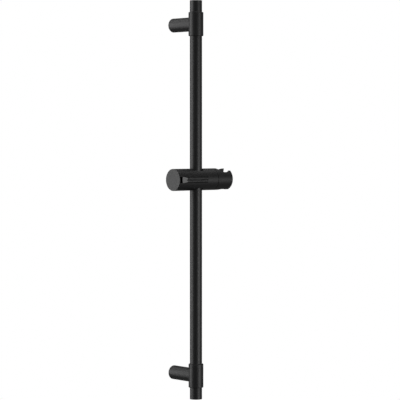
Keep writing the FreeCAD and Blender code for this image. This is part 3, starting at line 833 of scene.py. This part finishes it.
class SLIDERAIL_OT_slider_body(bpy.types.Operator):
    """Makes the slider's housing with its slot, bores and recess"""
    bl_idname = "sliderail.slider_body"
    bl_label = "Slider Body"

    def execute(self, context):
        slider = context.scene.slide_rail.slider
        lever = context.scene.slide_rail.lever
        centre = slider_centre()
        low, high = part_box("slider_body")
        left = low.x - centre.x
        right = high.x - centre.x
        body = self.housing(slider, centre, left, right)
        cuts = self.cuts(slider, lever, centre, left, right)
        made = carved("slider_body_rounded", body, [self.spring_post(slider, centre)], cuts)
        finishes = context.scene.slide_rail.finishes
        fit(made, "slider", "slider_body", coat(finishes, "slider_coat"))
        return {"FINISHED"}

    def housing(self, slider, centre, left, right):
        """The turned shell: a hollow left end, a solid middle and the recess on the right."""
        floor = right - slider.recess_depth
        return turned("X", centre, [
            (-slider.chamber_end, 0, 0),
            (-slider.chamber_end, slider.chamber_radius, 0),
            (left, slider.chamber_radius, 0),
            (left, slider.body_radius, 0),
            (right, slider.body_radius, slider.body_round),
            (right, slider.recess_radius, slider.body_round),
            (floor, slider.recess_radius, 0),
            (floor, slider.thread_radius, 0),
            (slider.thread_end, slider.thread_radius, 0),
            (slider.thread_end, 0, 0),
        ])

    def spring_post(self, slider, centre):
        """The post that the spring bears on, with the nub inside the spring."""
        root = centre - Vector((slider.spring_place, 0, 0))
        nub_front = slider.post_front - slider.nub_length
        end = slider.chamber_radius + PAST
        return turned("Y", root, [
            (nub_front, 0, 0),
            (nub_front, slider.nub_radius, 0),
            (slider.post_front, slider.nub_radius, 0),
            (slider.post_front, slider.post_radius, 0),
            (end, slider.post_radius, 0),
            (end, 0, 0),
        ], SMALL_STEPS)

    def cuts(self, slider, lever, centre, left, right):
        """The bore with the bushes' seats, the lever's slot and holes, and the groove for the stop."""
        tall = slider.body_radius + PAST
        rail_bore = turned("Z", centre, [
            (-tall, 0, 0),
            (-tall, slider.bush_seat, 0),
            (-slider.web_half, slider.bush_seat, 0),
            (-slider.web_half, slider.web_bore, 0),
            (slider.web_half, slider.web_bore, 0),
            (slider.web_half, slider.bush_seat, 0),
            (tall, slider.bush_seat, 0),
            (tall, 0, 0),
        ])
        slot = block(
            centre + Vector((left - PAST, -tall, -slider.slot_half)),
            centre + Vector((slider.slot_right, -slider.slot_floor, slider.slot_half)))
        pivot = lever_pivot(lever, centre)
        pad_hole = rod("Y", centre, -tall, 0, slider.pad_hole)
        pin_hole = rod("Z", pivot, -tall, slider.pin_top, slider.pin_hole, PIN_STEPS)
        knuckle_room = rod("Z", pivot, -slider.slot_half, slider.slot_half, slider.knuckle_room)
        floor = right - slider.recess_depth
        stop_groove = swept(
            floor - slider.stop_depth, floor + PAST, slider.stop_inner, slider.stop_outer,
            centre, slider.stop_turn)
        return [rail_bore, slot, pad_hole, pin_hole, knuckle_room, stop_groove]


class SLIDERAIL_OT_end_cap(bpy.types.Operator):
    """Makes the disc that closes the slider's left end"""
    bl_idname = "sliderail.end_cap"
    bl_label = "End Cap"

    def execute(self, context):
        slider = context.scene.slide_rail.slider
        centre = slider_centre()
        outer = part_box("end_cap")[0].x - centre.x
        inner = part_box("slider_body")[0].x - centre.x
        end = inner + slider.cap_ring_length
        cap = turned("X", centre, [
            (outer, 0, 0),
            (outer, slider.body_radius, slider.cap_round),
            (inner, slider.body_radius, 0),
            (inner, slider.cap_ring, 0),
            (end, slider.cap_ring, 0),
            (end, slider.cap_ring_inner, 0),
            (inner, slider.cap_ring_inner, 0),
            (inner, 0, 0),
        ])
        window = block(
            centre + Vector((inner, -slider.body_radius, -slider.cap_window)),
            centre + Vector((end + PAST, 0, slider.cap_window)))
        made = carved("end_cap_rounded", cap, cuts=[window])
        finishes = context.scene.slide_rail.finishes
        fit(made, "slider", "end_cap", coat(finishes, "cap_coat"))
        return {"FINISHED"}


class SLIDERAIL_OT_release_lever(bpy.types.Operator):
    """Makes the ribbed rocker with its thumb ramp"""
    bl_idname = "sliderail.release_lever"
    bl_label = "Release Lever"

    def execute(self, context):
        slider = context.scene.slide_rail.slider
        lever = context.scene.slide_rail.lever
        centre = slider_centre()
        bar = extruded(self.outline(slider, lever, centre), Vector((lever.left + lever.right, 0, 0)))
        joins = self.joins(lever, centre)
        made = carved("release_lever_rounded", bar, joins, self.cuts(slider, lever, centre))
        ramp_top = centre.x - lever.left + lever.ramp_length
        material = coat(context.scene.slide_rail.finishes, "lever_coat", rubbed_to=ramp_top)
        fit(made, "lever", "release_lever", material, RIB_SHARP_ANGLE)
        return {"FINISHED"}

    def outline(self, slider, lever, centre):
        """The lever's end: rounded ribs in front, a flat back."""
        start = centre - Vector((lever.left, 0, 0))
        pitch = 2 * lever.half / lever.rib_count
        points = [(self.groove(slider, lever, -lever.half), lever.edge_round)]
        for rib in range(lever.rib_count):
            low = -lever.half + rib * pitch
            points.append(self.rib(slider, lever, low, low + pitch))
            points.append((self.groove(slider, lever, low + pitch), 0))
        points[-1] = (points[-1][0], lever.edge_round)
        points.append((Vector((-lever.back, lever.half)), 0))
        points.append((Vector((-lever.back, -lever.half)), 0))
        return [(start + Vector((0, place.x, place.y)), rounding) for place, rounding in points]

    def groove(self, slider, lever, height):
        """A groove's floor at one height, as depth and height."""
        return Vector((-math.sqrt(slider.body_radius ** 2 - height ** 2) + lever.rib_depth, height))

    def rib(self, slider, lever, low, high):
        """The corner that a rib's arc is rounded from, and its rounding."""
        start = self.groove(slider, lever, low)
        end = self.groove(slider, lever, high)
        height = lever.rib_depth + lever.rib_proud
        crest = self.groove(slider, lever, (low + high) / 2) - Vector((height, 0))
        rise = crest - start
        span = end - start
        scale = 2 * rise.cross(span)
        across = Vector((span.y, -span.x)) * rise.length_squared
        across += Vector((-rise.y, rise.x)) * span.length_squared
        centre = start + across / scale
        inwards = (start + end) / 2 - centre
        corner = centre + inwards * (start - centre).length_squared / inwards.length_squared
        return corner, (corner - start).length * RIB_ARC

    def joins(self, lever, centre):
        """The arm in front of the spring, and the knuckle round the pin."""
        arm = block(
            centre + Vector((-lever.arm_left, -lever.back - PAST, -lever.half)),
            centre + Vector((-lever.arm_right, -lever.arm_inner, lever.half)))
        knuckle = rod("Z", lever_pivot(lever, centre), -lever.half, lever.half, lever.knuckle)
        return [arm, knuckle]

    def cuts(self, slider, lever, centre):
        """The thumb ramp, the pin's hole and the seats of pad and spring."""
        front = -slider.body_radius - lever.rib_proud
        tall = lever.half + PAST
        ramp_start = centre + Vector((-lever.left, 0, -tall))
        slope = (lever.ramp_drop + lever.rib_proud) / lever.ramp_length
        ramp = extruded([
            (ramp_start + Vector((lever.ramp_length, front, 0)), 0),
            (ramp_start + Vector((-PAST, front + slope * (lever.ramp_length + PAST), 0)), 0),
            (ramp_start + Vector((-PAST, front - PAST, 0)), 0),
            (ramp_start + Vector((lever.ramp_length, front - PAST, 0)), 0),
        ], Vector((0, 0, 2 * tall)))
        pin = rod("Z", lever_pivot(lever, centre), -tall, tall, lever.pin_hole, PIN_STEPS)
        pad = rod("Y", centre, -lever.back - lever.pad_depth, -lever.back + PAST, lever.pad_seat)
        root = centre - Vector((slider.spring_place, 0, 0))
        floor = -lever.arm_inner - lever.spring_depth
        seat = rod("Y", root, floor, -lever.arm_inner + PAST, lever.spring_seat)
        return [ramp, pin, pad, seat]


class SLIDERAIL_OT_lever_spring(bpy.types.Operator):
    """Makes the coil spring behind the lever"""
    bl_idname = "sliderail.lever_spring"
    bl_label = "Lever Spring"

    def execute(self, context):
        slider = context.scene.slide_rail.slider
        lever = context.scene.slide_rail.lever
        low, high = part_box("lever_spring")
        root = slider_centre() - Vector((slider.spring_place, 0, 0))
        wire = lever.spring_wire / 2
        coil = lever.spring_radius - wire
        shape = bmesh.new()
        start = Matrix.Translation((root.x, low.y + wire, root.z + coil))
        place = start @ Matrix.Rotation(math.pi / 2, 4, "Y")
        bmesh.ops.create_circle(shape, cap_ends=True, segments=WIRE_STEPS, radius=wire, matrix=place)
        steps = COIL_STEPS * lever.spring_turns
        rise = (high.y - low.y - lever.spring_wire) / steps
        geometry = shape.verts[:] + shape.edges[:] + shape.faces[:]
        bmesh.ops.spin(
            shape, geom=geometry, cent=root, axis=(0, 1, 0), dvec=(0, rise, 0),
            angle=2 * math.pi * lever.spring_turns, steps=steps, use_merge=False)
        made = solid("lever_spring_round", tidy(shape))
        made.data.shade_smooth()
        finishes = context.scene.slide_rail.finishes
        paint(made, turned_metal("spring_steel", finishes.steel_colour, root, "Y", finishes.steel_roughness))
        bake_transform(made)
        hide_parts("lever_spring")
        return {"FINISHED"}


class SLIDERAIL_OT_bushes(bpy.types.Operator):
    """Makes the two glide bushes round the rail"""
    bl_idname = "sliderail.bushes"
    bl_label = "Bushes"

    def execute(self, context):
        slider = context.scene.slide_rail.slider
        finishes = context.scene.slide_rail.finishes
        material = moulded("glide_plastic", finishes.glide_colour, finishes.bush_roughness)
        axis = rail_axis()
        for node in ("upper_bush", "lower_bush"):
            low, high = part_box(node)
            made = solid(node + "_rounded", turned("Z", axis, [
                (low.z, slider.bush_inner, slider.bush_round),
                (low.z, slider.bush_outer, slider.bush_round),
                (high.z, slider.bush_outer, slider.bush_round),
                (high.z, slider.bush_inner, slider.bush_round),
            ]))
            fit(made, "glide", node, material)
        return {"FINISHED"}


class SLIDERAIL_OT_handset_holder(bpy.types.Operator):
    """Makes the tilting end with its conical socket and hose slot"""
    bl_idname = "sliderail.handset_holder"
    bl_label = "Handset Holder"

    def execute(self, context):
        holder = context.scene.slide_rail.holder
        slider = context.scene.slide_rail.slider
        centre = slider_centre()
        made = carved(
            "handset_holder_rounded", self.end_piece(holder, slider, centre),
            [self.lug(holder, centre)], self.cuts(holder, slider, centre))
        self.round_mouth(made, holder, slider, centre)
        finishes = context.scene.slide_rail.finishes
        fit(made, "holder", "handset_holder", coat(finishes, "holder_coat"))
        return {"FINISHED"}

    def end_piece(self, holder, slider, centre):
        """The turned end with its spigot and the friction ring's groove."""
        groove_left = holder.ring_place - holder.groove_width / 2
        groove_right = holder.ring_place + holder.groove_width / 2
        return turned("X", centre, [
            (holder.spigot_end, 0, 0),
            (holder.spigot_end, holder.spigot_radius, 0),
            (groove_left, holder.spigot_radius, 0),
            (groove_left, holder.groove_floor, 0),
            (groove_right, holder.groove_floor, 0),
            (groove_right, holder.spigot_radius, 0),
            (holder.left, holder.spigot_radius, 0),
            (holder.left, slider.body_radius, slider.body_round),
            (holder.right, slider.body_radius, holder.end_round),
            (holder.right, 0, 0),
        ])

    def round_mouth(self, made, holder, slider, centre):
        """Rounds the curved edges where the socket leaves the holder's round side."""
        crowded = 0.25 * MM
        shape = bmesh.new()
        shape.from_mesh(made.data)
        mouth = [edge for edge in shape.edges if self.on_mouth(edge, holder, slider, centre)]
        corners = list({vert for edge in mouth for vert in edge.verts})
        bmesh.ops.remove_doubles(shape, verts=corners, dist=crowded)
        mouth = [edge for edge in shape.edges if self.on_mouth(edge, holder, slider, centre)]
        bmesh.ops.bevel(
            shape, geom=mouth, offset=holder.mouth_round, offset_type="OFFSET", segments=MOUTH_STEPS,
            profile=0.5, affect="EDGES", clamp_overlap=False, loop_slide=False, material=-1)
        tidy(shape)
        shape.to_mesh(made.data)
        shape.free()

    def on_mouth(self, edge, holder, slider, centre):
        """Whether an edge is a sharp one on the round side that doesn't run along the slider's axis."""
        below_side = 0.02 * MM
        clear_of_face = 0.1 * MM
        along_axis = 0.98
        sharp = math.radians(30.0)
        first, second = (vert.co - centre for vert in edge.verts)
        on_side = min(first.yz.length, second.yz.length) > slider.body_radius - below_side
        past_face = min(first.x, second.x) > holder.left + slider.body_round + clear_of_face
        before_end = max(first.x, second.x) < holder.right - holder.end_round
        curved = abs(first.x - second.x) < along_axis * edge.calc_length()
        return on_side and past_face and before_end and curved and edge.calc_face_angle(0) > sharp

    def lug(self, holder, centre):
        """The lug that runs in the slider's groove and stops the tilt."""
        return swept(
            holder.spigot_end - holder.lug_length, holder.spigot_end + PAST,
            holder.lug_inner, holder.lug_outer, centre, holder.lug_turn, LUG_STEPS)

    def cuts(self, holder, slider, centre):
        """The leaning socket with its slot for the hose, and the pivot's bores."""
        tilt = Matrix.Rotation(holder.socket_tilt, 3, "X")
        place = centre + Vector((holder.socket_place, 0, 0))
        reach = 2 * slider.body_radius
        taper = (holder.socket_top - holder.socket_bottom) / reach
        mid = (holder.socket_top + holder.socket_bottom) / 2
        socket = turned("Z", place, [
            (-reach, 0, 0),
            (-reach, mid - taper * reach, 0),
            (reach, mid + taper * reach, 0),
            (reach, 0, 0),
        ])
        slot = block(
            place + Vector((PAST, -holder.hose_slot, -reach)),
            place + Vector((holder.right - holder.socket_place + PAST, holder.hose_slot, reach)))
        for shape in (socket, slot):
            bmesh.ops.rotate(shape, verts=shape.verts[:], cent=place, matrix=tilt)
        inside = holder.socket_place - holder.bore_end
        seat = rod("X", centre, holder.counterbore_floor, inside, holder.counterbore)
        pivot = rod("X", centre, holder.spigot_end - PAST, inside, holder.pivot_hole)
        return [socket, slot, seat, pivot]


class SLIDERAIL_OT_pivot(bpy.types.Operator):
    """Makes the pivot screw, its washer and the friction ring"""
    bl_idname = "sliderail.pivot"
    bl_label = "Holder Pivot"

    def execute(self, context):
        holder = context.scene.slide_rail.holder
        finishes = context.scene.slide_rail.finishes
        centre = slider_centre()
        steel = turned_metal("pivot_steel", finishes.steel_colour, centre, "X", finishes.steel_roughness)
        made = carved("pivot_screw_rounded", self.screw(holder, centre), cuts=[self.key(holder, centre)])
        fit(made, "slider", "pivot_screw", steel)
        washer = tube(
            "X", centre, holder.washer_base, holder.head_base, holder.washer_bore, holder.head_radius,
            holder.edge_round, SMALL_STEPS)
        fit(solid("pivot_washer_rounded", washer), "slider", "pivot_washer", steel)
        made = solid("swivel_ring_round", self.ring(holder, centre))
        material = rubber("ring_rubber", finishes.rubber_colour)
        fit(made, "holder", "swivel_ring", material, RING_SHARP_ANGLE)
        return {"FINISHED"}

    def screw(self, holder, centre):
        """A shank with a flat round head."""
        return turned("X", centre, [
            (holder.screw_tip, 0, 0),
            (holder.screw_tip, holder.screw_radius, holder.tip_round),
            (holder.head_base, holder.screw_radius, 0),
            (holder.head_base, holder.head_radius, holder.edge_round),
            (holder.head_top, holder.head_radius, holder.head_round),
            (holder.head_top, 0, 0),
        ], SMALL_STEPS)

    def key(self, holder, centre):
        """The six-sided key socket, as wide across its flats as the key."""
        floor = holder.head_top - holder.key_depth
        return rod("X", centre, floor, holder.head_top + PAST, holder.key_width / math.sqrt(3), KEY_SIDES)

    def ring(self, holder, centre):
        """A round cord bent to a ring."""
        shape = bmesh.new()
        place = Matrix.Translation(centre + Vector((holder.ring_place, 0, holder.ring_radius)))
        turn = Matrix.Rotation(math.pi / 2, 4, "X")
        bmesh.ops.create_circle(shape, segments=CORD_STEPS, radius=holder.ring_cord / 2, matrix=place @ turn)
        return spun(shape, centre, (1, 0, 0), RING_STEPS)


class SLIDERAIL_OT_small_parts(bpy.types.Operator):
    """Gives the hidden screws, pads and pin their finishes"""
    bl_idname = "sliderail.small_parts"
    bl_label = "Small Parts"

    def execute(self, context):
        finishes = context.scene.slide_rail.finishes
        steel = finishes.steel_colour
        rough = finishes.screw_roughness
        wall = Vector((middle("rail_tube").x, 0, 0))
        pin = middle("lever_pin")
        glide = moulded("pad_plastic", finishes.glide_colour, finishes.pad_roughness)
        materials = {
            "brake_pad": rubber("pad_rubber", finishes.rubber_colour),
            "boss_grub_screws": turned_metal("grub_steel", steel, middle("boss_grub_screws"), "Z", rough),
            "clamp_screws": turned_metal("clamp_steel", steel, wall, "Y", rough),
            "lever_pin": turned_metal("pin_steel", finishes.pin_colour, pin, "Z", finishes.pin_roughness),
            "lower_clamp_pad": glide,
            "upper_clamp_pad": glide,
        }
        for node, material in materials.items():
            paint(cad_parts[node], material)
        return {"FINISHED"}


# Stage
def aim(place, target):
    """A place and a turn that looks at the target."""
    return Matrix.LocRotScale(place, (target - place).to_track_quat("-Z", "Y"), None)


def round_the_rail(stage, turn, distance, height):
    """A point that far round to the right of the camera, seen from the rail."""
    heading = stage.camera_azimuth + turn
    axis = middle("rail_tube")
    return Vector((axis.x + math.sin(heading) * distance, axis.y - math.cos(heading) * distance, height))


class SLIDERAIL_OT_stage(bpy.types.Operator):
    """Sets up the floor, the soft lights, the white surroundings and the camera"""
    bl_idname = "sliderail.stage"
    bl_label = "Stage"

    def execute(self, context):
        stage = context.scene.slide_rail.stage
        self.camera(context, stage)
        self.surroundings(context, stage)
        self.floor(stage)
        left = round_the_rail(stage, stage.left_turn, stage.side_out, stage.left_height)
        right = round_the_rail(stage, stage.right_turn, stage.side_out, stage.right_height)
        above = round_the_rail(stage, stage.top_turn, stage.top_out, stage.top_height)
        back = round_the_rail(stage, stage.back_turn, stage.back_out, stage.back_height)
        self.lamp(context, "left_softbox", stage.left_light, left, stage.left_width, stage.left_tall)
        self.lamp(context, "right_softbox", stage.right_light, right, stage.right_width, stage.right_tall)
        self.lamp(context, "top_softbox", stage.top_light, above, stage.top_size, stage.top_size)
        self.lamp(context, "back_softbox", stage.back_light, back, stage.back_size, stage.back_size)
        context.scene.view_settings.view_transform = "Standard"
        return {"FINISHED"}

    def camera(self, context, stage):
        """A long lens that looks at the rail from its left."""
        data = bpy.data.cameras.new("camera")
        data.lens = stage.camera_lens
        data.sensor_width = SENSOR_WIDTH
        camera = bpy.data.objects.new("camera", data)
        place = round_the_rail(stage, 0, stage.camera_distance, stage.camera_height)
        heading = stage.camera_azimuth - stage.camera_turn
        tip = math.pi / 2 - stage.camera_pitch
        turn = Matrix.Rotation(heading, 4, "Z") @ Matrix.Rotation(tip, 4, "X")
        camera.matrix_world = Matrix.Translation(place) @ turn
        context.scene.collection.objects.link(camera)
        context.scene.camera = camera

    def seen(self, finish, stage):
        """One for the camera, a share of it in gloss and glass, and little elsewhere."""
        camera = finish.node("ShaderNodeLightPath", output="Is Camera Ray")
        glossy = finish.node("ShaderNodeLightPath", output="Is Glossy Ray")
        through = finish.node("ShaderNodeLightPath", output="Is Transmission Ray")
        rest = 1.0 - (camera + glossy + through)
        return camera + (glossy + through) * stage.gloss_share + rest * stage.ambient

    def surroundings(self, context, stage):
        """A white world that the gloss shows only a share of."""
        world = bpy.data.worlds.new("studio")
        context.scene.world = world
        finish = Finish(world)
        sockets = {"Color": (1, 1, 1, 1), "Strength": self.seen(finish, stage)}
        shader = finish.node("ShaderNodeBackground", {}, sockets)
        finish.node("ShaderNodeOutputWorld", {}, {"Surface": shader})

    def floor(self, stage):
        """A pale round floor that takes the shadow and fades into the white surroundings."""
        shape = bmesh.new()
        bmesh.ops.create_circle(
            shape, cap_ends=True, segments=FLOOR_STEPS, radius=stage.floor_radius)
        drop = Vector((0, middle("rail_tube").y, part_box("bottom_plug")[0].z - stage.floor_drop))
        bmesh.ops.translate(shape, verts=shape.verts[:], vec=drop)
        floor = solid("floor", shape)
        floor.visible_glossy = False
        floor.visible_diffuse = False
        finish = Finish(bpy.data.materials.new("floor_paper"))
        way_out = finish.reach(drop, "Z") * (1.0 / stage.floor_radius)
        fade = finish.ramp(way_out, [(stage.fade_start, 0.0), (stage.fade_end, 1.0)])
        paper = finish.noise(size=2 * MM, detail=3.0)
        grain = finish.tinted(paper, stage.floor_colour, start=0.98, end=1.02)
        pale = finish.node("ShaderNodeBsdfDiffuse", {}, {"Color": grain})
        white = finish.node("ShaderNodeEmission", {}, {"Strength": self.seen(finish, stage)})
        shader = finish.node("ShaderNodeMixShader", {}, {0: fade, 1: pale, 2: white})
        finish.node("ShaderNodeOutputMaterial", {}, {"Surface": shader})
        paint(floor, finish.owner)

    def lamp(self, context, name, radiance, place, width, tall):
        """A soft light that faces the rail and that the camera doesn't see."""
        data = bpy.data.lights.new(name, "AREA")
        data.shape = "RECTANGLE"
        data.size = width
        data.size_y = tall
        data.energy = radiance * width * tall * math.pi
        lamp = bpy.data.objects.new(name, data)
        lamp.matrix_world = aim(place, middle("rail_tube"))
        lamp.visible_camera = False
        context.scene.collection.objects.link(lamp)


class SLIDERAIL_PT_panel(bpy.types.Panel):
    """Lists the sizes, the colours and the steps"""
    bl_idname = "SLIDERAIL_PT_panel"
    bl_label = "Slide Rail"
    bl_space_type = "VIEW_3D"
    bl_region_type = "UI"
    bl_category = "Slide Rail"

    def draw(self, context):
        settings = context.scene.slide_rail
        for name in SLIDERAIL_PG_settings.__annotations__:
            group = getattr(settings, name)
            box = self.layout.box()
            box.label(text=name.capitalize())
            for size in type(group).__annotations__:
                box.prop(group, size)
        for operator in OPERATORS:
            self.layout.operator(operator.bl_idname)


GROUPS = (
    SLIDERAIL_PG_rail,
    SLIDERAIL_PG_bracket,
    SLIDERAIL_PG_slider,
    SLIDERAIL_PG_lever,
    SLIDERAIL_PG_holder,
    SLIDERAIL_PG_finishes,
    SLIDERAIL_PG_stage,
    SLIDERAIL_PG_settings,
)
OPERATORS = (
    SLIDERAIL_OT_rail,
    SLIDERAIL_OT_brackets,
    SLIDERAIL_OT_wall_bosses,
    SLIDERAIL_OT_slider_body,
    SLIDERAIL_OT_end_cap,
    SLIDERAIL_OT_release_lever,
    SLIDERAIL_OT_lever_spring,
    SLIDERAIL_OT_bushes,
    SLIDERAIL_OT_handset_holder,
    SLIDERAIL_OT_pivot,
    SLIDERAIL_OT_small_parts,
    SLIDERAIL_OT_stage,
)


def register():
    for kind in GROUPS + OPERATORS + (SLIDERAIL_PT_panel,):
        bpy.utils.register_class(kind)
    bpy.types.Scene.slide_rail = PointerProperty(type=SLIDERAIL_PG_settings)


def unregister():
    del bpy.types.Scene.slide_rail
    for kind in reversed(GROUPS + OPERATORS + (SLIDERAIL_PT_panel,)):
        bpy.utils.unregister_class(kind)


def main():
    register()
    bpy.ops.sliderail.rail()
    bpy.ops.sliderail.brackets()
    bpy.ops.sliderail.wall_bosses()
    bpy.ops.sliderail.slider_body()
    bpy.ops.sliderail.end_cap()
    bpy.ops.sliderail.release_lever()
    bpy.ops.sliderail.lever_spring()
    bpy.ops.sliderail.bushes()
    bpy.ops.sliderail.handset_holder()
    bpy.ops.sliderail.pivot()
    bpy.ops.sliderail.small_parts()
    bpy.ops.sliderail.stage()


if __name__ == "__main__":
    main()
